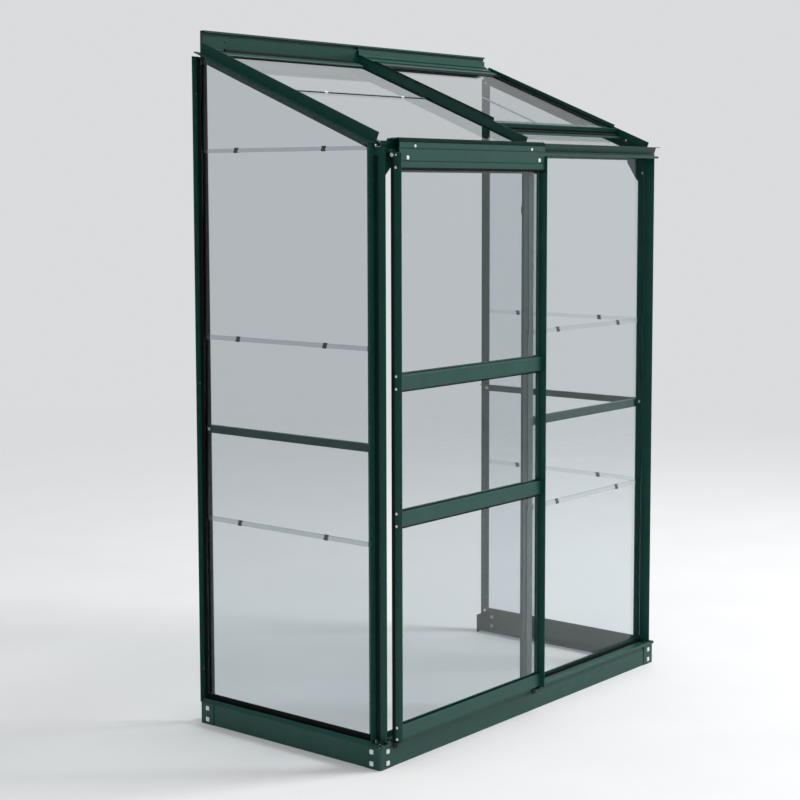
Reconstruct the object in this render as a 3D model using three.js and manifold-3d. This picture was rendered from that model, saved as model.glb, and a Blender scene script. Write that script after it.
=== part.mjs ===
// A lean-to greenhouse of folded and extruded metal bars with overlapping glass panes.
// One door slides sideways on two rollers, and one roof vent is hinged along the wall plate.
// Millimetres. X runs along the front, Y from the front to the wall, Z up.
// While the pieces are laid out, X = 0 is the outer left end of the base, Y = 0 the front
// of the base, and Z = 0 the ground. The whole group is then moved to stand on its own centre.

import * as THREE from 'three';
import { mergeVertices } from 'three/addons/utils/BufferGeometryUtils.js';
import Module from 'manifold-3d';

const wasm = await Module();
wasm.setup();

// ---------------------------------------------------------------- driving dimensions
const WIDTH = 1318;          // base, left to right
const DEPTH = 657;           // base, front to wall
const TOP = 1904;            // top of the wall plate
const FRONT_REACH = 37;      // how far the door stiles stand in front of the base
const SHEET = 1.5;           // wall of the metal sections
const PANE = 3;              // glass
const GAP = 0.3;             // working gap between two pieces that touch
const SIDE = 25;             // inset of the gable glazing plane from the base's end
const FRONT = 35.5;          // inset of the front glazing plane
const SLOPE = 0.405;         // rise of the roof per unit of depth
const ROOF_Z = 1579.9;       // height of the roof's seat at Y = 0
const PITCH = Math.atan(SLOPE);
const SILL_TOP = 69;         // outer edge of the base sills
const UPSTAND = 80.5;        // inner edge of the base sills
const BRACKET_LEG = 50.8;    // corner bracket
const BRACKET_TOP = 58.2;
const POST_TOP = 1583.5;     // corner post
const MID_RAIL = [813.5, 834.5];
const LAPS = [571, 1071.5, 1575];   // lower edges of the second, third and fourth panes
const LAP = 12;              // how far one pane covers the next
const KICK = 3.4;            // how far the lower edge of an upper pane stands out
const JAMB = [666, 709];     // centre post
const BAY = 666;             // centre roof bar's stem
const DOOR = [44.3, 674.5];  // outer faces of the door's stiles
const DOOR_FOOT = 71.4;
const DOOR_HEAD = 1568;
const DOOR_RAILS = [75.6, 626.6, 975.5];  // lower edges of the three rails' faces
const RAIL_FACE = 38.3;
const HOOD_FACE = -30.5;
const WHEEL_X = [106.8, 608.6];
const WHEEL_Z = 1585.3;
const WHEEL_R = 8.6;
const VENT = [664, 1293];    // outer sides of the vent's frame
const VENT_TOP = 34.5;       // above the roof's seat
const HINGE = [647.5, 1896.8];     // Y and Z of the vent's hinge bead

// ---------------------------------------------------------------- finishes
const GREEN = { color: 0x24463d, roughness: 0.42, metalness: 0.25 };
const GLASS = { color: 0xcfd9d8, roughness: 0.05, metalness: 0.0, transparent: true, opacity: 0.3 };
const STEEL = { color: 0xb9bcbd, roughness: 0.3, metalness: 1.0 };
const BLACK = { color: 0x101212, roughness: 0.6, metalness: 0.0 };
const WHITE = { color: 0xd8d8d2, roughness: 0.5, metalness: 0.0 };

// ---------------------------------------------------------------- helpers
const group = new THREE.Group();
const cosP = Math.cos(PITCH);
const sinP = Math.sin(PITCH);

// A closed geometry with shared vertices and its faces pointing out.
function closed(geometry) {
  let g = geometry.index ? geometry : geometry.clone();
  g.deleteAttribute('normal');
  g.deleteAttribute('uv');
  g = mergeVertices(g, 1e-4);
  const p = g.attributes.position;
  const a = new THREE.Vector3(), b = new THREE.Vector3(), c = new THREE.Vector3();
  const old = g.index.array;
  const keep = [];
  let volume = 0;
  for (let i = 0; i < old.length; i += 3) {
    if (old[i] === old[i + 1] || old[i + 1] === old[i + 2] || old[i] === old[i + 2]) continue;
    keep.push(old[i], old[i + 1], old[i + 2]);
    a.fromBufferAttribute(p, old[i]);
    b.fromBufferAttribute(p, old[i + 1]);
    c.fromBufferAttribute(p, old[i + 2]);
    volume += a.dot(b.clone().cross(c));
  }
  if (volume < 0) for (let i = 0; i < keep.length; i += 3) [keep[i], keep[i + 1]] = [keep[i + 1], keep[i]];
  g.setIndex(keep);
  return g;
}

function toSolid(geometry) {
  const g = closed(geometry);
  return new wasm.Manifold(new wasm.Mesh({
    numProp: 3,
    vertProperties: new Float32Array(g.attributes.position.array),
    triVerts: new Uint32Array(g.index.array),
  }));
}

function toGeometry(solid) {
  const m = solid.getMesh();
  const g = new THREE.BufferGeometry();
  const n = m.vertProperties.length / m.numProp;
  const pos = new Float32Array(n * 3);
  for (let i = 0; i < n; i++) for (let k = 0; k < 3; k++) pos[i * 3 + k] = m.vertProperties[i * m.numProp + k];
  g.setAttribute('position', new THREE.BufferAttribute(pos, 3));
  g.setIndex(Array.from(m.triVerts));
  return g;
}

const join = (...gs) => toGeometry(gs.map(toSolid).reduce((a, b) => a.add(b)));
const cut = (g, ...tools) => toGeometry(tools.map(toSolid).reduce((a, b) => a.subtract(b), toSolid(g)));

// A prism whose section (a, b) lies in the plane of the first two axes given, running along the third.
function prism(points, from, to, axes, holes = []) {
  const shape = new THREE.Shape(points.map(([a, b]) => new THREE.Vector2(a, b)));
  for (const h of holes) shape.holes.push(new THREE.Path(h.map(([a, b]) => new THREE.Vector2(a, b))));
  const g = new THREE.ExtrudeGeometry(shape, { depth: to - from, bevelEnabled: false, curveSegments: 12 });
  g.translate(0, 0, from);
  g.applyMatrix4(new THREE.Matrix4().makeBasis(...axes));
  return g;
}

const X = new THREE.Vector3(1, 0, 0), Y = new THREE.Vector3(0, 1, 0), Z = new THREE.Vector3(0, 0, 1);
const UP_SLOPE = new THREE.Vector3(0, cosP, sinP), OFF_SLOPE = new THREE.Vector3(0, -sinP, cosP);
const flip = (pts) => pts.map(([a, b]) => [b, a]);
const alongX = (yz, x0, x1) => prism(yz, x0, x1, [Y, Z, X]);
const alongY = (xz, y0, y1) => prism(flip(xz), y0, y1, [Z, X, Y]);
const alongZ = (xy, z0, z1, holes) => prism(xy, z0, z1, [X, Y, Z], holes);
// Roof coordinates: x, s up the slope, v off the slope; the seat of the roof is v = 0.
const onRoof = (g) => g.translate(0, 0, ROOF_Z);
const alongSlope = (xv, s0, s1) => onRoof(prism(flip(xv), s0, s1, [OFF_SLOPE, X, UP_SLOPE]));
const acrossSlope = (sv, x0, x1) => onRoof(prism(sv, x0, x1, [UP_SLOPE, OFF_SLOPE, X]));
const offSlope = (xs, v0, v1, holes) => onRoof(prism(xs, v0, v1, [X, UP_SLOPE, OFF_SLOPE], holes));
const roofPoint = (s, v) => [s * cosP - v * sinP, ROOF_Z + s * sinP + v * cosP];
const box = (x0, x1, y0, y1, z0, z1) => alongZ([[x0, y0], [x1, y0], [x1, y1], [x0, y1]], z0, z1);

// The section of a folded sheet: a line, and the same line set off by t to its right.
function folded(path, t = SHEET) {
  const right = [];
  for (let i = 0; i < path.length; i++) {
    const n = [];
    if (i > 0) n.push(normal(path[i - 1], path[i]));
    if (i < path.length - 1) n.push(normal(path[i], path[i + 1]));
    const m = n.length === 2 ? [(n[0][0] + n[1][0]) / (1 + n[0][0] * n[1][0] + n[0][1] * n[1][1]), (n[0][1] + n[1][1]) / (1 + n[0][0] * n[1][0] + n[0][1] * n[1][1])] : n[0];
    right.push([path[i][0] + t * m[0], path[i][1] + t * m[1]]);
  }
  return [...path, ...right.reverse()];
}
function normal(p, q) {
  const d = Math.hypot(q[0] - p[0], q[1] - p[1]);
  return [(q[1] - p[1]) / d, -(q[0] - p[0]) / d];
}

// Moves the vertices of a geometry by a rule.
function warp(g, rule) {
  const p = g.attributes.position;
  for (let i = 0; i < p.count; i++) {
    const v = rule(p.getX(i), p.getY(i), p.getZ(i));
    p.setXYZ(i, v[0], v[1], v[2]);
  }
  return g;
}
const mirrorX = (g) => warp(g.clone(), (x, y, z) => [WIDTH - x, y, z]);

function add(name, geometry, finish) {
  const mesh = new THREE.Mesh(closed(geometry), new THREE.MeshStandardMaterial(finish));
  mesh.geometry.computeVertexNormals();
  mesh.name = name;
  group.add(mesh);
}
function addPair(left, right, geometry, finish) {
  add(left, geometry.clone(), finish);
  add(right, mirrorX(geometry), finish);
}

// ---------------------------------------------------------------- base
// The front and side sills meet on a line from the outer corner to the crossing of the glazing planes.
const ARRIS = 8.5;
const mitre = (y) => (y <= ARRIS ? y : y <= FRONT ? ARRIS + (y - ARRIS) * (SIDE - ARRIS) / (FRONT - ARRIS) : SIDE + y - FRONT);
const unmitre = (x) => (x <= ARRIS ? x : x <= SIDE ? ARRIS + (x - ARRIS) * (FRONT - ARRIS) / (SIDE - ARRIS) : FRONT + x - SIDE);
const CORNER = 6;            // outer radius of the corner brackets

const frontSill = folded([
  [30, 0], [1.8, 0], [1.8, 46], [4.6, 58.6],
  [-2.8, 59.6], [-4.3, 61.2], [-4.3, 66.6], [-2.8, 68.2],
  [6, SILL_TOP], [24, SILL_TOP], [24, 62], [FRONT, 62], [FRONT, UPSTAND],
]);
add('base_front', warp(alongX(frontSill, 0, WIDTH), (x, y, z) => {
  const e = Math.max(mitre(y), z < 58.4 ? CORNER + GAP : 1.8);
  return [x < WIDTH / 2 ? e : WIDTH - e, y, z];
}), GREEN);

const sideSill = folded([
  [30, 0], [1.8, 0], [1.8, 58], [5.8, SILL_TOP], [ARRIS, SILL_TOP], [ARRIS, 62], [SIDE, 62], [SIDE, UPSTAND],
]);
addPair('base_left', 'base_right', warp(alongY(sideSill, 0, DEPTH - CORNER - 0.4), (x, y, z) =>
  [x, y < 300 ? Math.max(z < 60 ? CORNER + GAP : 0, unmitre(x) + 1.2) : y, z]), GREEN);

// Corner brackets wrap round the outside of the base.
const round = [];
for (let i = 0; i <= 6; i++) {
  const a = Math.PI / 2 * i / 6;
  round.push([CORNER - CORNER * Math.sin(a), CORNER - CORNER * Math.cos(a)]);
}
const frontBracket = alongZ(folded([[BRACKET_LEG, 0], ...round, [0, BRACKET_LEG]]), 0, BRACKET_TOP);
addPair('bracket_front_left', 'bracket_front_right', frontBracket, GREEN);
const backBracket = warp(frontBracket.clone(), (x, y, z) => [x, DEPTH - y, z]);
addPair('bracket_back_left', 'bracket_back_right', backBracket, GREEN);

// ---------------------------------------------------------------- posts
// Everything that stands in the two glazing planes stops under the roof bars and over the sills.
const underRoof = () => offSlope([[24.6, 31.8], [64, 31.8], [64, 820], [24.6, 820]], -20.4, 120);
const overSill = (y0, y1) => box(24.7, 90, y0, y1, 40, UPSTAND + GAP);

const cornerPost = [
  [6, FRONT], [SIDE, FRONT], [SIDE, -1.5], [SIDE + SHEET, -1.5], [SIDE + SHEET, FRONT], [59, FRONT],
  [59, FRONT + SHEET], [SIDE + SHEET, FRONT + SHEET], [SIDE + SHEET, 57], [SIDE, 57], [SIDE, FRONT + SHEET], [6, FRONT + SHEET],
];
addPair('corner_post_left', 'corner_post_right',
  join(cut(alongZ(cornerPost, SILL_TOP + GAP, POST_TOP), underRoof(), overSill(FRONT - GAP, 90),
    box(SIDE + SHEET + 0.1, 64, 30, 70, 1569.2, 1600)), box(6, 24.6, FRONT, FRONT + SHEET, POST_TOP - 4, 1592.2)), GREEN);

const wallPost = [[0, 655.5], [SIDE, 655.5], [SIDE, 625], [SIDE + SHEET, 625], [SIDE + SHEET, DEPTH], [0, DEPTH]];
const behindRoof = onRoof(acrossSlopeBlock());
function acrossSlopeBlock() {
  // the space of the side roof bar, stopping just behind its back end
  const a = roofPoint(31.8, -20.4), b = roofPoint(31.8, 120);
  const back = 655.3;
  const zAt = (v) => ROOF_Z + SLOPE * back + v / cosP;
  return alongX([a, [back, zAt(-20.4)], [back, zAt(120)], b], 24.6, 64).translate(0, 0, -ROOF_Z);
}
addPair('wall_post_left', 'wall_post_right',
  cut(alongZ(wallPost, 58.5, 1834), behindRoof, overSill(600, 655.3)), GREEN);

const jambFace = box(JAMB[0], JAMB[1], FRONT, FRONT + SHEET, UPSTAND + GAP, 1569.2);
const barFoot = (y) => ROOF_Z + SLOPE * y - 0.4 / cosP;
const jambBack = 45;
// the left return reaches up to the roof bar, behind the gutter's lower flange
const tallReturn = alongX([
  [FRONT + 1, UPSTAND + GAP], [jambBack, UPSTAND + GAP], [jambBack, barFoot(jambBack)], [39.2, barFoot(39.2)], [39.2, 1561.7], [FRONT + 1, 1561.7],
], JAMB[0], JAMB[0] + SHEET);
const shortReturn = box(JAMB[1] - SHEET, JAMB[1], FRONT + 1, jambBack, UPSTAND + GAP, 1561.7);
add('centre_post', join(jambFace, tallReturn, shortReturn), GREEN);
add('door_catch', alongY([[665.7, 1403], [665.7, 1435], [657.5, 1430], [657.5, 1411]], FRONT, 41), BLACK);

// ---------------------------------------------------------------- eaves, wall plate and roof bars
const gutter = [
  [-22, 1603.3], [-6.2, 1603.3], [1.6, 1583], [1.6, 1571], [12.5, 1571], [12.5, 1587], [14, 1587], [14, 1571],
  [38.8, 1571], [38.8, 1564.5], [37.3, 1564.5], [37.3, 1569.5], [0, 1569.5], [0, 1574.9], [-11, 1574.9], [-11, 1571.2],
  [-12.2, 1570], [-15, 1570], [-16.2, 1571.2], [-16.2, 1575.6], [-15.4, 1576.4], [-1.3, 1576.4], [0, 1582.4], [-7.7, 1601.8], [-22, 1601.8],
];
add('eaves_gutter', alongX(gutter, 26.8, WIDTH - 26.8), GREEN);

const wallPlate = [
  [657, TOP], [640.5, TOP], [640.5, 1899.2], [642, 1899.2], [642, 1902.5], [653, 1902.5], [653, 1892],
  [648, 1892], [652.4, 1861], [653.6, 1861], [653.6, 1847.5], [650, 1847.5], [650, 1841.5],
  [655.5, 1841.5], [655.5, 1836], [657, 1836],
];
const PLATE = [32, WIDTH - 33];
add('wall_plate', alongX(wallPlate, ...PLATE), GREEN);

// A roof bar ends square to the slope at the eaves and upright at the wall.
function roofBar(section, foot, back) {
  return warp(alongSlope(section, 0, 1000), (x, y, z) => {
    const s = y * cosP + (z - ROOF_Z) * sinP;
    const v = -y * sinP + (z - ROOF_Z) * cosP;
    const t = s < 500 ? foot : (back + v * sinP) / cosP;
    const p = roofPoint(t, v);
    return [x, p[0], p[1]];
  });
}
const sideBar = [
  [5.6, -1.2], [7.1, -1.2], [7.1, 0], [25, 0], [25, -20], [26.5, -20], [26.5, 0], [50, 0], [50, 1.5],
  [26.5, 1.5], [26.5, 29], [25, 29], [25, 1.5], [5.6, 1.5],
];
// the stem and the inner ledge stop in front of the wall plate; the outer flange runs on over the post
addPair('roof_bar_left', 'roof_bar_right', cut(roofBar(sideBar, 32.2, 655),
  box(24.4, 60, 650, 670, 1780, 1900), box(26.6, 60, 645.6, 670, 1780, 1900)), GREEN);
const centreBar = [
  [656, 0], [691, 0], [691, 1.5],
  [BAY + SHEET, 1.5], [BAY + SHEET, 29], [BAY, 29], [BAY, 1.5], [656, 1.5],
];
add('roof_bar_centre', roofBar(centreBar, 38, 645.6), GREEN);

// Middle rails, behind the glass, and the gussets under the eaves.
const inner = SIDE + SHEET + GAP;
const gableRail = [[inner, MID_RAIL[0]], [inner + SHEET, MID_RAIL[0]], [inner + SHEET, MID_RAIL[1] - SHEET], [39, MID_RAIL[1] - SHEET], [39, MID_RAIL[1]], [inner, MID_RAIL[1]]];
addPair('mid_rail_left', 'mid_rail_right', alongY(gableRail, 38, 655), GREEN);
const innerF = FRONT + SHEET + GAP;
const frontRail = [[innerF, MID_RAIL[0] - 3], [innerF + SHEET, MID_RAIL[0] - 3], [innerF + SHEET, MID_RAIL[1] - SHEET], [49.5, MID_RAIL[1] - SHEET], [49.5, MID_RAIL[1]], [innerF, MID_RAIL[1]]];
add('mid_rail_front', alongX(frontRail, JAMB[1] + GAP, 1278.6), GREEN);
const gusset = [[33, 1564.2], [118, 1564.2], [118, 1557], [63, 1504], [33, 1504]];
addPair('eaves_gusset_left', 'eaves_gusset_right', alongY(gusset, innerF, innerF + SHEET), GREEN);

// ---------------------------------------------------------------- fixed glass
// Each upper pane laps over the outside of the one below, its lower edge kicked out.
const kicked = (g, axis, dir, z0, z1) => warp(g, (x, y, z) => {
  const d = KICK * dir * (z1 - z) / (z1 - z0);
  return axis === 'x' ? [x + d, y, z] : [x, y + d, z];
});
const GX = SIDE - 0.5 - PANE;
const paneEdges = [[62.4, LAPS[0] + LAP], [LAPS[0], LAPS[1] + LAP], [LAPS[1], LAPS[2] + 11]];
paneEdges.forEach(([z0, z1], i) => {
  let g = box(GX, GX + PANE, 37.6, 645, z0, z1);
  if (i) g = kicked(g, 'x', -1, z0, z1);
  addPair(`gable_left_pane_${i + 1}`, `gable_right_pane_${i + 1}`, g, GLASS);
});
const rake = (y) => ROOF_Z + SLOPE * y - 0.5;
addPair('gable_left_pane_4', 'gable_right_pane_4', kicked(
  alongX([[37.6, LAPS[2]], [645, LAPS[2]], [645, rake(645)], [37.6, rake(37.6)]], GX, GX + PANE), 'x', -1, LAPS[2], rake(645)), GLASS);

const FY = FRONT - 0.5 - PANE;
const frontEdges = [[62.4, LAPS[0] + LAP], [LAPS[0], LAPS[1] + LAP], [LAPS[1], 1569]];
frontEdges.forEach(([z0, z1], i) => {
  let g = box(680, 1290.8, FY, FY + PANE, z0, z1);
  if (i) g = kicked(g, 'y', -1, z0, z1);
  add(`front_pane_${i + 1}`, g, GLASS);
});

const GLASS_V = 2.3;
const roofPane = (x0, x1, s0, s1) => offSlope([[x0, s0], [x1, s0], [x1, s1], [x0, s1]], GLASS_V, GLASS_V + PANE);
add('roof_left_pane_1', roofPane(29, 664, 19, 410), GLASS);
add('roof_left_pane_2', warp(roofPane(29, 664, 398, 697), (x, y, z) => {
  const s = y * cosP + (z - ROOF_Z) * sinP;
  const d = KICK * (697 - s) / (697 - 398);
  return [x, y - d * sinP, z + d * cosP];
}), GLASS);
add('roof_right_pane', roofPane(669.5, 1289.5, 19, 150), GLASS);

// ---------------------------------------------------------------- sliding door
const stile = [
  [44.3, -37], [45.9, -37], [45.9, -12.2], [60.9, -12.2], [60.9, -10.7], [45.9, -10.7], [45.9, -4.5], [50, -4.5], [50, -3], [44.3, -3],
];
add('door_stile_left', alongZ(stile, DOOR_FOOT, DOOR_HEAD), GREEN);
add('door_stile_right', warp(alongZ(stile, DOOR_FOOT, DOOR_HEAD), (x, y, z) => [DOOR[0] + DOOR[1] - x, y, z]), GREEN);

const inside = [DOOR[0] + 1.9, DOOR[1] - 1.9];
const backing = [DOOR[0] + 16.9, DOOR[1] - 16.9];
const railSection = (zb, face) => {
  const zt = zb + face;
  return join(
    alongX(folded([[-17, zb - 4.2], [-23.5, zb], [-23.5, zt - 4.5], [-21.8, zt]]), ...inside),
    alongX([[-22.2, zb + 18.5], [-16, zb + 18.5], [-16, zb + 20], [-22.2, zb + 20]], ...inside),
    alongX([[-16.2, zb + 18.5], [-10.7, zb + 18.5], [-10.7, zb + 20], [-16.2, zb + 20]], ...backing),
    alongX([[-12.2, zb - 4.2], [-10.7, zb - 4.2], [-10.7, zt + 4.2], [-12.2, zt + 4.2]], ...backing),
  );
};
['door_rail_bottom', 'door_rail_lower', 'door_rail_upper'].forEach((n, i) => add(n, railSection(DOOR_RAILS[i], i ? RAIL_FACE : RAIL_FACE - 3), GREEN));

const hood = folded([
  [-20, 1527.4], [-27, 1526.8], [HOOD_FACE, 1530], [HOOD_FACE, 1546.6], [-27.9, 1546.8], [-27.9, 1548.6], [HOOD_FACE, 1548.8],
  [HOOD_FACE, 1578.2], [-27.9, 1578.4], [-27.9, 1580.2], [HOOD_FACE, 1580.4],
  [HOOD_FACE, 1596.7], [-29, 1601.4], [-26, 1604.4], [-22, 1605.3], [-6.5, 1605.3], [0, 1604.9], [3.4, 1602.8], [5.2, 1599], [5.2, 1592],
]);
add('door_hood', join(
  alongX(hood, ...inside),
  alongX([[-29.2, 1556], [-16, 1556], [-16, 1557.5], [-29.2, 1557.5]], ...inside),
  alongX([[-16.2, 1556], [-10.7, 1556], [-10.7, 1557.5], [-16.2, 1557.5]], ...backing),
  alongX([[-12.2, 1520], [-10.7, 1520], [-10.7, 1557.5], [-12.2, 1557.5]], ...backing),
), GREEN);

const paneX = [54.4, 664.4];
const doorPane = (z0, z1) => box(...paneX, -15.5, -12.5, z0, z1);
const shelf = (i) => [DOOR_RAILS[i] + 18.2, DOOR_RAILS[i] + 20.3];
add('door_pane_bottom', doorPane(shelf(0)[1], shelf(1)[0]), GLASS);
add('door_pane_middle', doorPane(shelf(1)[1], shelf(2)[0]), GLASS);
add('door_pane_top', doorPane(shelf(2)[1], 1555.7), GLASS);

// Rollers run on the gutter's lower lip; their flanges hang in front of its bead.
const rollerProfile = [[2.7, -9.5], [WHEEL_R - 0.6, -9.5], [WHEEL_R, -10.1], [WHEEL_R, -16.5], [10.6, -16.6], [11, -17.2], [11, -18.9], [10.4, -19.5], [2.7, -19.5], [2.7, -9.5]];
['door_wheel_left', 'door_wheel_right'].forEach((n, i) => {
  const g = new THREE.LatheGeometry(rollerProfile.map(([r, y]) => new THREE.Vector2(r, y)), 40);
  g.translate(WHEEL_X[i], 0, WHEEL_Z);
  add(n, g, WHITE);
  const axle = new THREE.CylinderGeometry(2.4, 2.4, 20.2, 20);
  axle.translate(WHEEL_X[i], -18.6, WHEEL_Z);
  add(n.replace('wheel', 'axle'), axle, STEEL);
});

// Guides hook round the bead of the front sill.
const glide = [
  [-25, 71.1], [18, 71.1], [18, 69.6], [-4.9, 69.4], [-4.9, 58.9], [-0.6, 58.9], [-0.6, 57.2], [-5, 57.2], [-5, 49.5], [-7.4, 49.5],
  [-7.4, 63], [-12, 66], [-25, 67],
];
add('door_glide_left', alongX(glide, 45.2, 60), BLACK);
add('door_glide_right', alongX(glide, 658.8, 673.6), BLACK);

// ---------------------------------------------------------------- roof vent
const ventSill = [
  [127, 5.8], [158, 5.8], [158, 1.8], [159.5, 1.8], [159.5, 10.5], [175, 10.5], [175, 12], [158, 12], [158, 7.3], [127, 7.3],
];
add('vent_sill', acrossSlope(ventSill, BAY + SHEET + 0.4, WIDTH - 26.9), GREEN);
const peg = offSlope(ring(951, 167, 2.5, 16), 13.2, 17.4);
add('vent_stay_peg', join(offSlope([[935, 161], [967, 161], [967, 173], [935, 173]], 12.3, 13.5), peg), STEEL);
function ring(cx, cy, r, n) {
  return Array.from({ length: n }, (_, i) => [cx + r * Math.cos(2 * Math.PI * i / n), cy + r * Math.sin(2 * Math.PI * i / n)]);
}

// The sides stand up between the stems of the roof bars, and their tops reach over the stems.
const ventSide = [
  [1268, 18.2], [1289.7, 18.2], [1289.7, 16.5], [1291.2, 16.5], [1291.2, 33.4], [1294, 33.4], [1294, 35], [1289.7, 35], [1289.7, 19.7], [1268, 19.7],
];
const VENT_ENDS = [167, 691];
// the side ledges stop between the ledges of the bottom rail and the hinge rail
const ventBar = cut(alongSlope(ventSide, ...VENT_ENDS),
  acrossSlope([[150, 17], [193.3, 17], [193.3, 20.2], [150, 20.2]], 1250, 1289.4),
  acrossSlope([[649.7, 17], [700, 17], [700, 20.2], [649.7, 20.2]], 1250, 1289.4));
add('vent_side_right', ventBar.clone(), GREEN);
add('vent_side_left', warp(ventBar.clone(), (x, y, z) => [BAY + WIDTH - 25 - x, y, z]), GREEN);
// the bottom rail runs from stem to stem, in front of the sides
const clear = [BAY + 3.9, WIDTH - 28.9];
const ventFoot = [[153.5, 12.4], [155, 12.4], [155, 18.2], [158, 18.2], [158, 19.7], [155, 19.7], [155, 28], [153.5, 28]];
const lug = [[179.6, 18.9], [191, 18.9], [189.4, 7.4], [183, 7.4]];
add('vent_bottom_rail', join(
  acrossSlope(ventFoot, BAY + SHEET + 0.4, WIDTH - 26.9),
  acrossSlope([[156.5, 18.4], [193, 18.4], [193, 19.5], [156.5, 19.5]], ...clear),
  acrossSlope(lug, 941.3, 944), acrossSlope(lug, 958, 960.7)), GREEN);

// The hinge rail's bead turns in the groove along the top of the wall plate.
const ventHead = [
  [650, 18.2], [678.5, 18.2], [678.5, 29], [688.5, 29], [688.5, 33], [704, 33], [704, 34.5], [687, 34.5],
  [687, 30.5], [664, 30.5], [664, 23.6], [665.5, 23.6], [665.5, 29], [677, 29], [677, 19.7], [650, 19.7],
];
const headTop = roofPoint(704, VENT_TOP), headUnder = roofPoint(702, 33.1);
const apron = [
  [HINGE[0] + 0.1, HINGE[1] - 2], [HINGE[0] - 1.2, HINGE[1] - 2], [HINGE[0] - 1.2, 1889.6], [641.2, 1889.6], [641.2, headTop[1] + 1],
  [headTop[0] - 1.4, headTop[1] - 0.8], headUnder, [642.7, headTop[1] + 0.6], [642.7, 1888.1], [HINGE[0] + 0.1, 1888.1],
];
add('vent_hinge_rail', join(
  acrossSlope(ventHead, clear[0], 1272),
  alongX(apron, VENT[0], PLATE[1]),
  alongX(ring(HINGE[0], HINGE[1], 3.2, 16), VENT[0], PLATE[1])), GREEN);
add('vent_pane', offSlope([[clear[0] + 0.2, 155.6], [clear[1] - 0.2, 155.6], [clear[1] - 0.2, 676.6], [clear[0] + 0.2, 676.6]], 20, 23), GLASS);

const stayHoles = [200, 250, 300, 350, 400].map((s) => ring(951, s, 3.1, 16));
const stayEnd = [];
for (let i = 0; i <= 8; i++) { const a = Math.PI * i / 8; stayEnd.push([951 + 6 * Math.cos(a), 430 + 6 * Math.sin(a)]); }
const stayPivot = [];
for (let i = 0; i <= 8; i++) { const a = Math.PI + Math.PI * i / 8; stayPivot.push([951 + 6 * Math.cos(a), 187.6 + 6 * Math.sin(a)]); }
add('vent_stay', offSlope([...stayEnd, ...stayPivot], 9.5, 11.7, stayHoles), STEEL);

// ---------------------------------------------------------------- stand the whole on its own centre
for (const mesh of group.children) mesh.geometry.translate(-WIDTH / 2, -(DEPTH - FRONT_REACH) / 2, 0);

export default group;
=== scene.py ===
import math
import random

import bmesh
import bpy
from mathutils import Matrix, Vector


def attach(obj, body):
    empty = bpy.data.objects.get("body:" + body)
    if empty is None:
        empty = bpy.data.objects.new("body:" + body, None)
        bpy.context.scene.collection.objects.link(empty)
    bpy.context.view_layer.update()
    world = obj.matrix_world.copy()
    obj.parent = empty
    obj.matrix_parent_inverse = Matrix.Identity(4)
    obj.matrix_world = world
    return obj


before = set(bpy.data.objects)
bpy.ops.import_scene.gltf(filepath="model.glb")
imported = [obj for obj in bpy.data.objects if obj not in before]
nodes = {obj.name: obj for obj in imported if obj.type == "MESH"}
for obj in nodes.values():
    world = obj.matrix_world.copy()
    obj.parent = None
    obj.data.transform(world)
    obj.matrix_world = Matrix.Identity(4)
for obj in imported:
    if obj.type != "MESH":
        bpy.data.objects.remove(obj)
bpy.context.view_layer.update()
scene = bpy.context.scene
rng = random.Random(7)

# The layout the sizes are given in: millimetres, X from the left end of the base, Y from its front, Z up.
OX, OY = 659.0, 310.0
COS, SIN, SEAT = 0.0, 0.0, 1579.9
PITCH = math.atan(0.405)
COS, SIN = math.cos(PITCH), math.sin(PITCH)


def P(x, y, z):
    return Vector(((x - OX) / 1000.0, (y - OY) / 1000.0, z / 1000.0))


def roof(x, s, v):
    """A point of the roof: s up the slope and v off it."""
    return P(x, s * COS - v * SIN, SEAT + s * SIN + v * COS)


# ------------------------------------------------------------------ camera
CAM = P(-3257.20, -2781.30, 1477.96)
F_PX, CX, CY = 1726.82, 430.465, 353.954
YAW, TILT, ROLL = 0.894065, -0.0951522, -0.00077454
look = Vector((math.sin(YAW) * math.cos(TILT), math.cos(YAW) * math.cos(TILT), math.sin(TILT)))
right0 = Vector((math.cos(YAW), -math.sin(YAW), 0.0))
up0 = right0.cross(look)
right = math.cos(ROLL) * right0 + math.sin(ROLL) * up0
up = -math.sin(ROLL) * right0 + math.cos(ROLL) * up0
cam_data = bpy.data.cameras.new("photo_view")
cam_data.sensor_fit = "HORIZONTAL"
cam_data.sensor_width = 36.0
cam_data.lens = F_PX / 800.0 * 36.0
cam_data.shift_x = (400.0 - CX) / 800.0
cam_data.shift_y = (CY - 400.0) / 800.0
cam_data.clip_start, cam_data.clip_end = 0.05, 200.0
cam = bpy.data.objects.new("photo_view", cam_data)
scene.collection.objects.link(cam)
m = Matrix.Identity(4)
for i in range(3):
    m[i][0], m[i][1], m[i][2], m[i][3] = right[i], up[i], -look[i], CAM[i]
cam.matrix_world = m
scene.camera = cam


# ------------------------------------------------------------------ materials
def tree(name):
    mat = bpy.data.materials.new(name)
    mat.use_nodes = True
    t = mat.node_tree
    t.nodes.clear()
    out = t.nodes.new("ShaderNodeOutputMaterial")
    return mat, t, out


def add(t, kind, **values):
    n = t.nodes.new(kind)
    for k, v in values.items():
        setattr(n, k, v)
    return n


def noise(t, coord, scale, detail=3.0, rough=0.5, stretch=None):
    n = add(t, "ShaderNodeTexNoise")
    n.inputs["Scale"].default_value = scale
    n.inputs["Detail"].default_value = detail
    n.inputs["Roughness"].default_value = rough
    src = coord
    if stretch:
        mp = add(t, "ShaderNodeMapping")
        mp.inputs["Scale"].default_value = stretch
        t.links.new(coord, mp.inputs["Vector"])
        src = mp.outputs["Vector"]
    t.links.new(src, n.inputs["Vector"])
    return n.outputs["Fac"]


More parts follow.
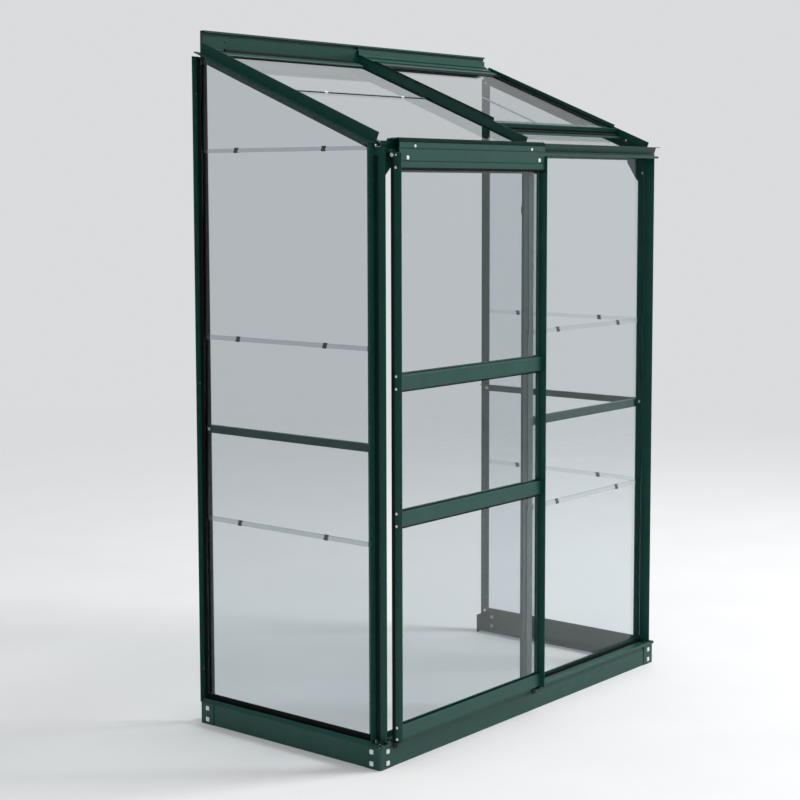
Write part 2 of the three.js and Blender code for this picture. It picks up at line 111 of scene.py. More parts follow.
def ramp(t, fac, stops):
    n = add(t, "ShaderNodeValToRGB")
    r = n.color_ramp
    while len(r.elements) < len(stops):
        r.elements.new(0.5)
    for e, (p, c) in zip(r.elements, stops):
        e.position = p
        e.color = (*c, 1.0) if len(c) == 3 else c
    t.links.new(fac, n.inputs["Fac"])
    return n.outputs["Color"]


def spread(t, fac, lo, hi):
    n = add(t, "ShaderNodeMapRange")
    n.inputs["From Min"].default_value = 0.3
    n.inputs["From Max"].default_value = 0.7
    n.inputs["To Min"].default_value = lo
    n.inputs["To Max"].default_value = hi
    t.links.new(fac, n.inputs["Value"])
    return n.outputs["Result"]


def bump(t, height, strength, distance):
    n = add(t, "ShaderNodeBump")
    n.inputs["Strength"].default_value = strength
    n.inputs["Distance"].default_value = distance
    t.links.new(height, n.inputs["Height"])
    return n.outputs["Normal"]


def coords(t):
    return add(t, "ShaderNodeTexCoord").outputs["Object"]


def coated(name, dark, light, rough=(0.36, 0.48), metallic=0.0, specular=0.5, grain=1400.0, depth=0.00006):
    """A sprayed and baked coat: faint mottling of tone, uneven gloss and a fine orange-peel."""
    mat, t, out = tree(name)
    c = coords(t)
    b = add(t, "ShaderNodeBsdfPrincipled")
    tone = noise(t, c, 26.0, 4.0, 0.55)
    t.links.new(ramp(t, tone, [(0.3, dark), (0.7, light)]), b.inputs["Base Color"])
    t.links.new(spread(t, noise(t, c, 60.0, 3.0, 0.6), *rough), b.inputs["Roughness"])
    t.links.new(bump(t, noise(t, c, grain, 2.0, 0.5), 0.35, depth), b.inputs["Normal"])
    b.inputs["Metallic"].default_value = metallic
    b.inputs["Specular IOR Level"].default_value = specular
    t.links.new(b.outputs["BSDF"], out.inputs["Surface"])
    return mat


def glass_sheet(name, tint, ior):
    """Clear flat sheet glass, a little uneven in gloss; light from the lamps passes straight through it."""
    mat, t, out = tree(name)
    c = coords(t)
    b = add(t, "ShaderNodeBsdfPrincipled")
    b.inputs["Base Color"].default_value = (*tint, 1.0)
    b.inputs["Transmission Weight"].default_value = 1.0
    b.inputs["IOR"].default_value = ior
    t.links.new(spread(t, noise(t, c, 7.0, 2.0), 0.0, 0.006), b.inputs["Roughness"])
    clear = add(t, "ShaderNodeBsdfTransparent")
    clear.inputs["Color"].default_value = (0.86, 0.885, 0.89, 1.0)
    path = add(t, "ShaderNodeLightPath")
    either = add(t, "ShaderNodeMath", operation="MAXIMUM")
    t.links.new(path.outputs["Is Shadow Ray"], either.inputs[0])
    t.links.new(path.outputs["Is Diffuse Ray"], either.inputs[1])
    mix = add(t, "ShaderNodeMixShader")
    t.links.new(either.outputs[0], mix.inputs["Fac"])
    t.links.new(b.outputs["BSDF"], mix.inputs[1])
    t.links.new(clear.outputs["BSDF"], mix.inputs[2])
    t.links.new(mix.outputs["Shader"], out.inputs["Surface"])
    return mat


GREEN = coated("green_powder_coat", (0.0036, 0.0480, 0.0375), (0.0050, 0.0580, 0.0455), rough=(0.36, 0.46), specular=0.36)
# The door and left gable panes take a darker tint than the same glass on the front and right gable: painted shade for
# the shaded wall behind them.
GLASS = glass_sheet("glass_darkened_for_shade", (0.645, 0.692, 0.716), 1.42)
PALE_GLASS = glass_sheet("pale_glass", (0.85, 0.880, 0.892), 1.3)
ROOF_GLASS = glass_sheet("roof_glass", (0.68, 0.712, 0.727), 1.08)
STEEL = coated("zinc_plate", (0.56, 0.57, 0.58), (0.70, 0.71, 0.72), rough=(0.22, 0.36), metallic=1.0, grain=2400.0, depth=0.00003)
# Black moulding for the glides, catch, caps and stops, and also painted shade: the corner plugs and the strips at the
# posts' feet.
BLACK_AND_SHADE = coated("black_moulding_and_painted_shade", (0.0035, 0.0045, 0.0045), (0.006, 0.007, 0.007), rough=(0.55, 0.7), specular=0.22, grain=2000.0)
# Black: glazing rubber, and also strips of painted shade in gaps, channels and under lips.
RUBBER_AND_SHADE = coated("glazing_rubber_and_painted_shade", (0.0025, 0.0032, 0.0032), (0.0045, 0.0055, 0.0055), rough=(0.65, 0.8), specular=0.15, grain=1800.0)
BRIGHT = coated("bright_fixing", (0.72, 0.72, 0.73), (0.80, 0.80, 0.81), rough=(0.34, 0.5), metallic=0.15, specular=0.5, grain=2600.0, depth=0.00003)
# A very dark copy of the green: painted shade, for the thin strips on the corner posts and door stiles.
PAINTED_SHADE_STRIP = coated("painted_shade_strip", (0.0018, 0.0120, 0.0095), (0.0026, 0.0160, 0.0125), rough=(0.6, 0.75), specular=0.15, grain=1800.0)
DULL = coated("dull_fixing", (0.07, 0.075, 0.075), (0.12, 0.125, 0.125), rough=(0.4, 0.55), metallic=0.4, specular=0.5, grain=2600.0, depth=0.00003)
# A darker copy of the green: painted shade, for the hood's rolled top lip.
SHADE = coated("green_lip_painted_shade", (0.0018, 0.0140, 0.0108), (0.0026, 0.0180, 0.0138), rough=(0.7, 0.85), specular=0.08, grain=1500.0)
# Dark grey-green: painted shade under the wall plate's face.
PLATE_SHADE = coated("wall_plate_painted_shade", (0.008, 0.018, 0.015), (0.012, 0.024, 0.020), rough=(0.6, 0.75), specular=0.2, grain=1500.0)
NYLON = coated("roller_nylon", (0.56, 0.56, 0.53), (0.64, 0.64, 0.61), rough=(0.42, 0.55), grain=1500.0)

for name, node in nodes.items():
    if "pane" in name:
        mat = ROOF_GLASS if name.startswith(("roof", "vent")) else PALE_GLASS if name.startswith(("front", "gable_right")) else GLASS
    elif name in ("door_glide_left", "door_glide_right", "door_catch"):
        mat = BLACK_AND_SHADE
    elif name.startswith("door_wheel"):
        mat = NYLON
    elif name in ("door_axle_left", "door_axle_right", "vent_stay", "vent_stay_peg"):
        mat = STEEL
    else:
        mat = GREEN
    node.data.materials.clear()
    node.data.materials.append(mat)
    for poly in node.data.polygons:
        poly.material_index = 0


# ------------------------------------------------------------------ small pieces
def piece(name, bm, mat, body, smooth=False):
    me = bpy.data.meshes.new(name)
    bmesh.ops.recalc_face_normals(bm, faces=bm.faces)
    bm.to_mesh(me)
    bm.free()
    me.materials.append(mat)
    for p in me.polygons:
        p.use_smooth = smooth
    o = bpy.data.objects.new(name, me)
    scene.collection.objects.link(o)
    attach(o, body)
    return o


def basis(normal, turn):
    n = Vector(normal).normalized()
    t = Vector(turn)
    t = (t - t.dot(n) * n).normalized()
    return n, t, n.cross(t)


def stack(place, normal, turn, rings):
    """A closed turned or angular form: rings of (height, radii at equal angles) joined one to the next, in mm."""
    n, t, b = basis(normal, turn)
    bm = bmesh.new()
    prev = None
    for h, radii in rings:
        k = len(radii)
        cur = [bm.verts.new(place + 0.001 * (n * h + t * (r * math.cos(2 * math.pi * i / k)) + b * (r * math.sin(2 * math.pi * i / k))))
               for i, r in enumerate(radii)]
        if prev is None:
            bm.faces.new(cur)
        else:
            for i in range(k):
                bm.faces.new((prev[i], prev[(i + 1) % k], cur[(i + 1) % k], cur[i]))
        prev = cur
    bm.faces.new(prev)
    return bm


STEPS = 24


def circle(r):
    return [r] * STEPS


def square(a, corner):
    """A square of half width a whose corners are cut at corner times a."""
    out = []
    for i in range(STEPS):
        w = 2 * math.pi * i / STEPS
        out.append(min(a / max(abs(math.cos(w)), abs(math.sin(w))), corner * a))
    return out


def hexagon(a, corner=2.0):
    out = []
    for i in range(STEPS):
        w = (2 * math.pi * i / STEPS + math.pi / 6) % (math.pi / 3) - math.pi / 6
        out.append(min(a / math.cos(w), corner * a))
    return out


def square_head(name, place, normal, turn, body, across=11.5, height=2.6, mat=None):
    a = across / 2
    rings = [(0.0, square(a, 1.36)), (0.66 * height, square(a, 1.36)), (0.86 * height, square(0.97 * a, 1.2)),
             (height, square(0.86 * a, 1.06)), (1.05 * height, circle(0.45 * a)), (1.06 * height, circle(0.12 * a))]
    return piece(name, stack(place, normal, turn, rings), mat or BRIGHT, body)


def pan_head(name, place, normal, turn, body, across=7.0, height=2.2, mat=None):
    r = across / 2
    rings = [(0.0, circle(r)), (0.3 * height, circle(r)), (0.7 * height, circle(0.88 * r)), (0.94 * height, circle(0.62 * r)),
             (height, circle(0.42 * r)), (0.97 * height, hexagon(0.3 * r)), (0.45 * height, hexagon(0.28 * r)), (0.42 * height, hexagon(0.05 * r))]
    return piece(name, stack(place, normal, turn, rings), mat or BRIGHT, body)


def nut(name, place, normal, turn, body, across=9.5, height=4.4, mat=None):
    a = across / 2
    rings = [(0.0, circle(1.25 * a)), (0.7, circle(1.25 * a)), (0.75, hexagon(a, 1.14)), (0.86 * height, hexagon(a, 1.14)), (height, hexagon(a, 1.02)),
             (height, circle(0.56 * a)), (height + 1.6, circle(0.54 * a)), (height + 2.0, circle(0.42 * a))]
    return piece(name, stack(place, normal, turn, rings), mat or BRIGHT, body)


def bar(name, section, origin, ax_a, ax_b, start, end, mat, body, round_to=None):
    """A section of (a, b) points in mm, drawn from start to end along the third axis."""
    a, b = Vector(ax_a), Vector(ax_b)
    c = a.cross(b)
    bm = bmesh.new()
    ends = []
    for d in (start, end):
        ends.append([bm.verts.new(origin + 0.001 * (a * p + b * q + c * d)) for p, q in section])
    k = len(section)
    for i in range(k):
        bm.faces.new((ends[0][i], ends[0][(i + 1) % k], ends[1][(i + 1) % k], ends[1][i]))
    for e in ends:
        bm.faces.new(e)
    o = piece(name, bm, mat, body)
    if round_to:
        m = o.modifiers.new("edge", "BEVEL")
        m.width, m.segments, m.limit_method, m.angle_limit = round_to / 1000.0, 2, "ANGLE", math.radians(35)
    return o


XA, YA, ZA = Vector((1, 0, 0)), Vector((0, 1, 0)), Vector((0, 0, 1))
UP_SLOPE, OFF_SLOPE = Vector((0, COS, SIN)), Vector((0, -SIN, COS))
W, D = 1318.0, 657.0

# Square-headed bolts through the corner brackets, with their nuts inside the sills.
for i, (x, y, n) in enumerate([
        (0, 29, -XA), (29, 0, -YA), (W, 29, XA), (W - 29, 0, -YA), (0, D - 29, -XA), (W, D - 29, XA)]):
    for j, z in enumerate((14.5, 45.5)):
        turn = ZA + 0.06 * (rng.random() - 0.5) * (XA + YA)
        square_head(f"base_bolt_{i + 1}_{j + 1}", P(x, y, z), n, turn, "frame", 11.8, 2.6)
        nut(f"base_nut_{i + 1}_{j + 1}", P(x, y, z) - 0.0034 * n, -n, (0.3, 0.4, 1.0), "frame")

# Bolts at the ends of the middle rails and of the gussets: flat heads under the glass, nuts inside.
for side, x0, n in (("left", 25.0, -XA), ("right", W - 25.0, XA)):
    for k, y in enumerate((44.5, 632.3)):
        square_head(f"rail_bolt_{side}_{k + 1}", P(x0, y, 824), n, ZA, "frame", 7.6, 1.6)
        nut(f"rail_nut_{side}_{k + 1}", P(x0, y, 824) - (0.0035 if y > 300 else 0.0035) * n, -n, (0.2, 0.5, 1.0), "frame", 8.0, 3.6)
nut("rail_nut_front_right", P(1270, 38.9, 824.5), YA, ZA, "frame", 8.0, 3.6)
nut("rail_nut_front_left", P(718, 38.9, 824.5), YA, ZA, "frame", 8.0, 3.6)
for side, xs in (("left", (47.5, 108)), ("right", (W - 47.5, W - 108))):
    for k, x in enumerate(xs):
        nut(f"gusset_nut_{side}_{k + 1}", P(x, 38.9, 1530 if k == 0 else 1559), YA, ZA, "frame", 7.5, 3.2)
square_head("rail_bolt_front_right", P(1276, 35.45, 824.5), -YA, ZA, "frame", 7.6, 1.6)
square_head("gusset_bolt_right", P(1281, 35.45, 1526), -YA, ZA, "frame", 7.0, 0.6)

# Screws of the wall posts.
for side, x, s in (("left", 13.0, 1), ("right", W - 13.0, -1)):
    for k, z in enumerate((150, 950, 1734)):
        pan_head(f"wall_screw_{side}_{k + 1}", P(x, 655.45, z), -YA, ZA, "frame", 6.4, 2.0, DULL)
for k, (x, y, z) in enumerate([(26.6, 640, 1822), (W - 26.6, 640, 1822)]):
    n = XA if k == 0 else -XA
    nut(f"head_nut_{k + 1}", P(x, y, z), n, ZA, "frame", 8.5, 3.6)
for k, (x, y, z) in enumerate([(26.7, 640, 71), (W - 26.7, 640, 71), (26.7, 46, 71), (W - 26.7, 46, 71)]):
    n = XA if x < 300 else -XA
    nut(f"post_foot_nut_{k + 1}", P(x, y, z + 1.0), n, ZA, "frame", 8.0, 3.6)

# Stile screws.
for side, x, n in (("left", 44.3, -XA), ("right", 674.5, XA)):
    for k, z in enumerate((74.9, 106.7, 629.0, 661.0, 978.0, 1010.0, 1531.6)):
        pan_head(f"stile_screw_{side}_{k + 1}", P(x, -19.0, z + 1.5 if k == 0 else z), n, ZA, "door", 7.2, 2.2)

# Roller axles and the bolts that hold the glass stops, on the hood.
for side, x in (("left", 106.8), ("right", 608.6)):
    r = 3.9
    rings = [(0.0, circle(r)), (0.9, circle(r)), (1.8, circle(0.86 * r)), (2.3, circle(0.5 * r)), (2.4, circle(0.15 * r))]
    piece(f"axle_head_{side}", stack(P(x, -30.45, 1585.3), -YA, ZA, rings), BRIGHT, "door", smooth=False)
for side, x in (("left", 76.5), ("right", 643.6)):
    square_head(f"hood_bolt_{side}", P(x, -30.45, 1556.2), -YA, ZA, "door", 9.6, 2.4)

# The bolt that joins the hood to the stile's top, with a screw and a rivet beside it.
for side, x, n in (("left", 44.3, -XA), ("right", 674.5, XA)):
    square_head(f"stile_top_bolt_{side}", P(x, -7.6, 1563.0), n, YA + 0.9 * ZA, "door", 8.6, 3.4)
    pan_head(f"stile_top_screw_{side}", P(x, -20.4, 1562.8), n, ZA, "door", 5.0, 2.4)
    pan_head(f"stile_top_rivet_{side}", P(x, -5.0, 1566.2), n, ZA, "door", 3.4, 4.6)

# Clips that hook the upper pane's lower edge to the pane below it.
CLIP = [(3.5, 6), (4.4, 6), (4.4, -1.2), (0.08, -1.2), (0.08, 12.2), (-3.1, 12.2), (-3.1, 7), (-4.0, 7), (-4.0, 13.1), (0.28, 13.1), (0.28, -0.3), (3.5, -0.3)]
LAPS = (571.0, 1071.5, 1575.0)


def clip(name, origin, outward, upward, mat):
    return bar(name, CLIP, origin, outward, upward, -6, 6, mat, "frame")


# The same clips take the dark fixing finish on the walls and front and the bright finish on the roof: painted shade on
# the wall clips, painted light on the roof clips.
for i, z in enumerate(LAPS):
    for j, y in enumerate((200.0, 514.0)):
        clip(f"clip_left_{i + 1}_{j + 1}", P(21.5, y, z), -XA, ZA, DULL)
        clip(f"clip_right_{i + 1}_{j + 1}", P(W - 21.5, y - 2, z), XA, ZA, DULL)
for i, z in enumerate(LAPS[:2]):
    for j, x in enumerate((829.0, 1146.0)):
        clip(f"clip_front_{i + 1}_{j + 1}", P(x, 32.0, z), -YA, ZA, DULL)
for j, x in enumerate((216.0, 537.0)):
    clip(f"clip_roof_{j + 1}", roof(x, 398, 5.3), OFF_SLOPE, UP_SLOPE, BRIGHT)

# Rubber: the seat of the front pane and the beads under the door's rails and the hood; the beads are also painted
# shade, black for the shadow line under each face. The black strips of the gable panes below are painted shade in
# their channels.
bar("seal_front_foot", [(29.3, 62.3), (31.8, 62.3), (31.8, 75.4), (31.0, 76.0), (29.3, 74.4)], P(0, 0, 0), YA, ZA, 711, 1290, RUBBER_AND_SHADE, "frame")
for i, zb in enumerate((626.6, 975.5)):
    bar(f"bead_and_shade_door_rail_{i + 1}", [(-15.7, zb - 7.4), (-17.4, zb - 7.0), (-18.6, zb - 4.0), (-17.4, zb - 4.6), (-15.7, zb - 4.6)],
        P(0, 0, 0), YA, ZA, 54.6, 664.2, RUBBER_AND_SHADE, "door")
bar("bead_and_shade_hood", [(-30.95, 1531.6), (-30.95, 1529.6), (-27.3, 1526.1), (-20.0, 1526.7), (-20.0, 1525.9), (-27.5, 1525.3), (-31.6, 1529.2), (-31.6, 1531.6)],
    P(0, 0, 0), YA, ZA, 46.4, 672.4, RUBBER_AND_SHADE, "door")
# The hood's rolled top lip, drawn in the darker green: painted shade on the lip.
LIP = [(-31.0, 1594.6), (-31.0, 1597.2), (-29.5, 1601.8), (-26.2, 1605.0), (-22.0, 1606.0), (-22.0, 1605.6), (-26.0, 1604.7), (-29.2, 1601.6), (-30.65, 1597.1), (-30.65, 1594.6)]
bar("hood_top_lip", LIP, P(0, 0, 0), YA, ZA, 45.4, 673.4, SHADE, "door")
def mirrored(pts):
    return [(W - a, b) for a, b in reversed(pts)]


BACK_SHADE = [(16.8, 655.2), (24.7, 655.2), (24.7, 645.4), (17.6, 645.4), (17.6, 641.0), (16.4, 641.6)]
FOOT_SHADE = [(18.6, 62.4), (21.2, 62.4), (21.2, 80.0), (20.3, 80.6), (18.6, 78.4)]
POST_SHADE = [(24.2, 35.2), (24.75, 35.2), (24.75, 21.0), (24.2, 22.0)]
STILE_SHADE = [(43.75, -3.3), (44.2, -3.3), (44.2, -13.8), (43.75, -13.2)]
# Black strips at the gable panes' back edges, feet and flanges: painted shade in the channels there.
bar("shade_strip_gable_left_back", BACK_SHADE, P(0, 0, 0), XA, YA, 62.6, 1832, RUBBER_AND_SHADE, "frame", 0.4)
bar("shade_strip_gable_right_back", mirrored(BACK_SHADE), P(0, 0, 0), XA, YA, 62.6, 1832, RUBBER_AND_SHADE, "frame", 0.4)
bar("shade_strip_gable_left_foot", FOOT_SHADE, P(0, 0, 0), XA, ZA, -640.8, -38.0, RUBBER_AND_SHADE, "frame")
bar("shade_strip_gable_right_foot", mirrored(FOOT_SHADE), P(0, 0, 0), XA, ZA, -640.8, -38.0, RUBBER_AND_SHADE, "frame")
WEB_SHADE = [(24.6, 625.4), (24.9, 625.4), (24.9, 645.2), (24.6, 645.0)]
bar("shade_strip_web_left", WEB_SHADE, P(0, 0, 0), XA, YA, 81.2, 1812, RUBBER_AND_SHADE, "frame")
bar("shade_strip_web_right", mirrored(WEB_SHADE), P(0, 0, 0), XA, YA, 81.2, 1812, RUBBER_AND_SHADE, "frame")
# Thin dark green strips on the corner posts' fins and the backs of the door stiles: painted shade where those faces
# lie in shadow.
bar("shade_strip_post_left", POST_SHADE, P(0, 0, 0), XA, YA, 69.6, 1562, PAINTED_SHADE_STRIP, "frame")
bar("shade_strip_post_right", mirrored(POST_SHADE), P(0, 0, 0), XA, YA, 69.6, 1562, PAINTED_SHADE_STRIP, "frame")
bar("shade_strip_stile_left", STILE_SHADE, P(0, 0, 0), XA, YA, 72, 1556, PAINTED_SHADE_STRIP, "door")
bar("shade_strip_stile_right", [(718.8 - a, b) for a, b in reversed(STILE_SHADE)], P(0, 0, 0), XA, YA, 72, 1556, PAINTED_SHADE_STRIP, "door")


def roof_bar(name, section, x0, x1, mat, body, round_to=None):
    """A section of (s, v) points of the roof, drawn across it from x0 to x1."""
    return bar(name, section, P(0, 0, SEAT), UP_SLOPE, OFF_SLOPE, x0, x1, mat, body, round_to)


# The flashing over the upper end of the fixed roof panes: a black base, painted shade under the capping's lower edge,
# and a green capping.
roof_bar("flashing_base", [(655, 6.2), (655, 10.6), (656, 11.3), (699, 11.3), (699, 6.2)], 29, 641, RUBBER_AND_SHADE, "frame")
roof_bar("flashing_cap", [(656, 11.4), (656, 13.6), (657.2, 14.6), (676, 15.4), (676, 11.4)], 29, 641, GREEN, "frame", 0.3)
# The vent: seals round its pane and along its hinge rail. The black strips on the sill in front of it and at the foot
# of its bottom rail are painted shade in the gap under the rail.
roof_bar("seal_vent_head", [(629, 23.2), (629, 23.9), (631, 24.6), (647.9, 24.6), (647.9, 23.2)], 671, 1288, RUBBER_AND_SHADE, "vent")
roof_bar("vent_head_lip", [(648, 23.2), (648, 25.2), (650, 27.2), (663.6, 27.2), (663.6, 23.2)], 671, 1288, GREEN, "vent", 0.3)
roof_bar("shade_strip_vent_sill", [(145, 7.4), (145, 10.5), (147, 12), (152.2, 12), (152.2, 7.4)], 669, 1290, RUBBER_AND_SHADE, "frame")
for side, pts in (("left", [(669.6, 23.1), (673.6, 23.1), (670.8, 25.4), (669.6, 25.4)]), ("right", [(1285.4, 23.1), (1289.4, 23.1), (1289.4, 25.4), (1288.2, 25.4)])):
    bar(f"seal_vent_{side}", pts, P(0, 0, SEAT), XA, OFF_SLOPE, -628, -170, RUBBER_AND_SHADE, "vent")
roof_bar("strip_vent_foot", [(152.5, 12.6), (152.5, 16.4), (153.35, 16.4), (153.35, 12.6)], 669, 1290, RUBBER_AND_SHADE, "vent")
# Rubber strips under the edges of the roof's panes. The black strip along the vent's left side is painted shade on the
# side's outer edge.
for name, x0, x1, v0, v1, s0, s1, body in (
        ("left", 27.2, 49.6, 1.62, 2.2, 34, 696, "frame"), ("centre_left", 656.4, 664.4, 1.62, 2.2, 40, 694, "frame"),
        ("centre_right", 668.0, 690.6, 1.62, 2.2, 40, 149, "frame"), ("right", 1268.4, 1290.6, 1.62, 2.2, 34, 149, "frame"),
        ("vent_right", 1268.4, 1289.2, 19.76, 19.94, 194, 649, "vent")):
    bar(f"seal_under_{name}", [(x0, v0), (x1, v0), (x1, v1), (x0 + 0.2, v1)], P(0, 0, SEAT), XA, OFF_SLOPE, -s1, -s0, RUBBER_AND_SHADE, body)
bar("shade_strip_vent_left_edge", [(663.4, 35.15), (669.0, 35.15), (668.6, 37.6), (664.6, 38.0)], P(0, 0, SEAT), XA, OFF_SLOPE, -640, -168, RUBBER_AND_SHADE, "vent", 0.3)
pan_head("eaves_screw_right", P(1291.3, 100.5, 1626.8), -XA, ZA, "frame", 6.0, 2.2)
pan_head("wall_plate_screw", P(118, 649.9, 1880), (0, -1, -0.14), ZA, "frame", 7.0, 1.6, GREEN)

# Dark strips along the foot of the wall plate, over the upper end of the fixed roof panes: painted shade under the
# plate's face, dark green above and black below.
bar("shade_strip_wall_plate", [(653.4, 1860.7), (649.8, 1860.7), (648.8, 1859.8), (648.6, 1855.6), (653.4, 1855.6)],
    P(0, 0, 0), YA, ZA, 119, 641, PLATE_SHADE, "frame", 0.5)
bar("lip_wall_plate", [(653.4, 1855.4), (648.8, 1855.4), (648.2, 1853.6), (649.3, 1848.0), (653.4, 1848.0)],
    P(0, 0, 0), YA, ZA, 119, 641, RUBBER_AND_SHADE, "frame", 0.5)

# At each end of the gutter: a cleat behind its back wall, a moulded end cap and the cap's screw.
CLEAT = [(26.9, 1583.9), (58.0, 1583.9), (58.0, 1598.4), (26.9, 1598.4)]
CAP = [(11.5, 1583.9), (32.0, 1583.9), (27.2, 1596.6), (24.0, 1597.2), (14.0, 1590.5), (11.5, 1587.0)]
FRONT_FOOT_SHADE = [(-4.5, 65.6), (-4.9, 65.6), (-4.9, 66.9), (-3.1, 68.75), (5.0, 69.27), (5.0, 69.05), (-2.95, 68.4), (-4.5, 66.75)]
CORNER_FOOT_SHADE = [(3.75, 65.4), (5.1, 69.1), (5.5, 69.1), (4.15, 65.4)]
CORNER_PLUG = [(1.75, 6.0), (1.85, 4.6), (2.9, 2.9), (4.6, 1.85), (6.0, 1.75), (6.0, 6.0)]
PLUG = [(-2.4, 61.5), (-2.4, 66.2), (5.4, 67.0), (5.4, 60.4)]
STOP = [(6.2, 69.2), (23.0, 69.2), (23.0, 72.6), (21.0, 73.4), (8.4, 73.4), (6.2, 72.4)]
for side, sx, n in (("left", 0.0, -XA), ("right", W, XA)):
    cleat = CLEAT if sx == 0 else mirrored(CLEAT)
    bar(f"eaves_cleat_{side}", cleat, P(0, 0, 0), XA, ZA, -15.9, -14.3, GREEN, "frame", 0.4)
    x0 = 23.4 if sx == 0 else W - 26.4
    bar(f"gutter_cap_{side}", CAP, P(0, 0, 0), YA, ZA, x0, x0 + 3.0, BLACK_AND_SHADE, "frame", 0.5)
    xs = 23.3 if sx == 0 else W - 23.3
    pan_head(f"gutter_screw_{side}", P(xs, 27.6, 1587.4), n, ZA, "frame", 5.6, 2.4)
    x0 = 2.2 if sx == 0 else W - 8.2
    bar(f"bead_plug_{side}", PLUG, P(0, 0, 0), YA, ZA, x0, x0 + 6.0, BLACK_AND_SHADE, "frame")
    # Black plugs in the corners above the brackets: they close the gap there, and their black is painted shade in that
    # hollow.
    plug = CORNER_PLUG if sx == 0 else mirrored(CORNER_PLUG)
    bar(f"corner_plug_{side}", plug, P(0, 0, 0), XA, YA, 48.0, 58.3, BLACK_AND_SHADE, "frame")
    # Black strips at the feet of the corner posts: painted shade in the gap between post and sill.
    foot_shade = CORNER_FOOT_SHADE if sx == 0 else mirrored(CORNER_FOOT_SHADE)
    bar(f"corner_shade_{side}", foot_shade, P(0, 0, 0), XA, ZA, -34.4, -7.0, BLACK_AND_SHADE, "frame")
    x0 = 8.6 if sx == 0 else W - 24.3
    bar(f"corner_shade_front_{side}", FRONT_FOOT_SHADE, P(0, 0, 0), YA, ZA, x0, x0 + 15.7, BLACK_AND_SHADE, "frame")
    x0 = 27.4 if sx == 0 else W - 43.6
    bar(f"door_stop_{side}", STOP, P(0, 0, 0), YA, ZA, x0, x0 + 16.2, BLACK_AND_SHADE, "frame", 0.5)
    x0 = 34.0 if sx == 0 else W - 116.0
    bar(f"gusset_packing_{side}", [(39.0, 1563.9), (39.9, 1563.9), (39.9, 1567.4), (39.0, 1567.2)], P(0, 0, 0), YA, ZA, x0, x0 + 82.0, GREEN, "frame")

# Fine rounding of the folded edges.
for name, node in nodes.items():
    if node.data.materials[0] == GREEN:
        m = node.modifiers.new("edge", "BEVEL")
        m.width, m.segments, m.limit_method, m.angle_limit = 0.00035, 2, "ANGLE", math.radians(38)
        m.use_clamp_overlap = True


# ------------------------------------------------------------------ stage
def floor():
    """A pale floor that fades into the background a few metres away, so no horizon shows."""
    bm = bmesh.new()
    rings = [0.0, 1.0, 2.0, 3.0, 4.5, 6.5, 9.0]
    n = 64
    prev = None
    for r in rings:
        if r == 0.0:
            prev = [bm.verts.new((0, 0, -0.0002))]
            continue
        cur = [bm.verts.new((r * math.cos(2 * math.pi * i / n), r * math.sin(2 * math.pi * i / n), -0.0002)) for i in range(n)]
        for i in range(n):
            if len(prev) == 1:
                bm.faces.new((prev[0], cur[i], cur[(i + 1) % n]))
            else:
                bm.faces.new((prev[i], cur[i], cur[(i + 1) % n], prev[(i + 1) % n]))
        prev = cur
    me = bpy.data.meshes.new("floor")
    bm.to_mesh(me)
    bm.free()
    mat, t, out = tree("pale_floor")
    b = add(t, "ShaderNodeBsdfPrincipled")
    c = coords(t)
    t.links.new(ramp(t, noise(t, c, 3.0, 3.0), [(0.35, (0.80, 0.80, 0.805)), (0.65, (0.82, 0.82, 0.825))]), b.inputs["Base Color"])
    b.inputs["Roughness"].default_value = 0.65
    b.inputs["Specular IOR Level"].default_value = 0.2
    length = add(t, "ShaderNodeVectorMath", operation="LENGTH")
    t.links.new(c, length.inputs[0])
    fade = add(t, "ShaderNodeMapRange", interpolation_type="SMOOTHSTEP")
    fade.inputs["From Min"].default_value = 1.6
    fade.inputs["From Max"].default_value = 7.5
    t.links.new(length.outputs["Value"], fade.inputs["Value"])
    clear = add(t, "ShaderNodeBsdfTransparent")
    mix = add(t, "ShaderNodeMixShader")
    t.links.new(fade.outputs["Result"], mix.inputs["Fac"])
    t.links.new(b.outputs["BSDF"], mix.inputs[1])
    t.links.new(clear.outputs["BSDF"], mix.inputs[2])
    t.links.new(mix.outputs["Shader"], out.inputs["Surface"])
    me.materials.append(mat)
    o = bpy.data.objects.new("floor", me)
    scene.collection.objects.link(o)


floor()


def lamp(name, place, target, size, power, colour=(1, 1, 1)):
    d = bpy.data.lights.new(name, "AREA")
    d.shape = "RECTANGLE"
    d.size, d.size_y = size
    d.energy = power
    d.color = colour
    o = bpy.data.objects.new(name, d)
    o.location = place
    o.rotation_euler = (Vector(target) - Vector(place)).to_track_quat("-Z", "Y").to_euler()
    scene.collection.objects.link(o)


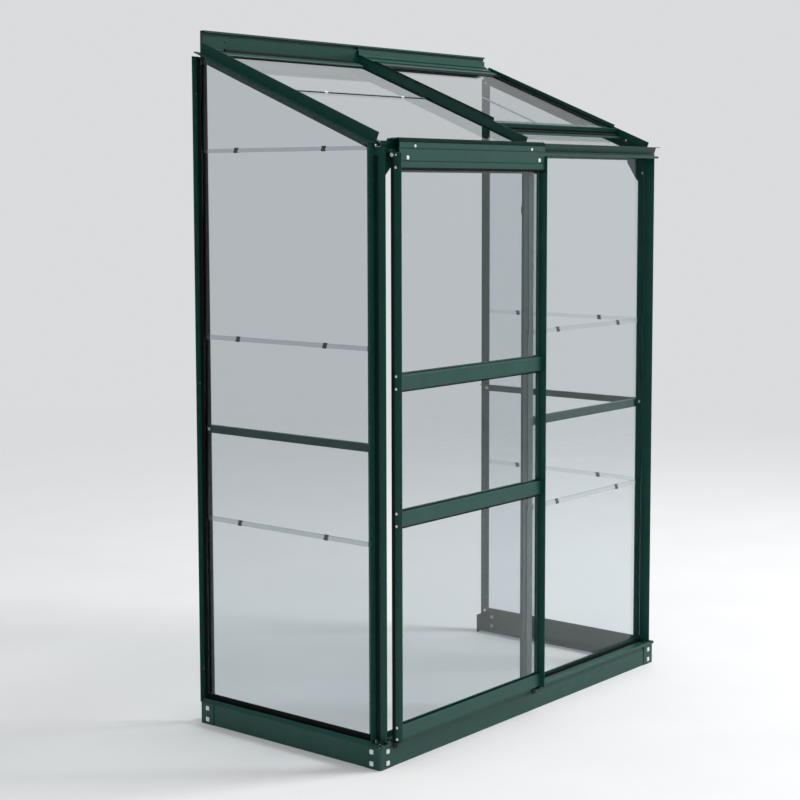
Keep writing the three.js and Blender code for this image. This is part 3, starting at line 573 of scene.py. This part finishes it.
lamp("key", (2.9, -3.1, 5.9), (0.0, 0.0, 0.9), (1.5, 1.5), 300)
lamp("fill", (-5.0, -2.2, 2.6), (0.0, 0.0, 0.9), (2.2, 2.2), 21)

# The room's own light is strongest from above and from the right of the front; the camera sees an even backdrop.
world = bpy.data.worlds.new("studio")
scene.world = world
world.use_nodes = True
wt = world.node_tree
back = wt.nodes["Background"]
back.inputs["Color"].default_value = (0.705, 0.712, 0.722, 1.0)
where = wt.nodes.new("ShaderNodeTexCoord")
along = wt.nodes.new("ShaderNodeVectorMath")
along.operation = "DOT_PRODUCT"
wt.links.new(where.outputs["Generated"], along.inputs[0])
along.inputs[1].default_value = (0.45, -0.50, 0.74)


def soft_room(low, high):
    m = wt.nodes.new("ShaderNodeMapRange")
    m.inputs["From Min"].default_value = -0.7
    m.inputs["From Max"].default_value = 0.8
    m.inputs["To Min"].default_value = low
    m.inputs["To Max"].default_value = high
    wt.links.new(along.outputs["Value"], m.inputs["Value"])
    b = wt.nodes.new("ShaderNodeBackground")
    b.inputs["Color"].default_value = (0.985, 0.995, 1.0, 1.0)
    wt.links.new(m.outputs["Result"], b.inputs["Strength"])
    return b


path = wt.nodes.new("ShaderNodeLightPath")
only = wt.nodes.new("ShaderNodeMath")
only.operation = "SUBTRACT"
only.use_clamp = True
wt.links.new(path.outputs["Is Glossy Ray"], only.inputs[0])
wt.links.new(path.outputs["Is Transmission Ray"], only.inputs[1])
mix_a = wt.nodes.new("ShaderNodeMixShader")
mix_b = wt.nodes.new("ShaderNodeMixShader")
wt.links.new(path.outputs["Is Diffuse Ray"], mix_a.inputs["Fac"])
wt.links.new(back.outputs["Background"], mix_a.inputs[1])
wt.links.new(soft_room(0.17, 0.85).outputs["Background"], mix_a.inputs[2])
wt.links.new(only.outputs["Value"], mix_b.inputs["Fac"])
wt.links.new(mix_a.outputs["Shader"], mix_b.inputs[1])
wt.links.new(soft_room(0.06, 1.0).outputs["Background"], mix_b.inputs[2])
wt.links.new(mix_b.outputs["Shader"], wt.nodes["World Output"].inputs["Surface"])

scene.view_settings.view_transform = "Standard"
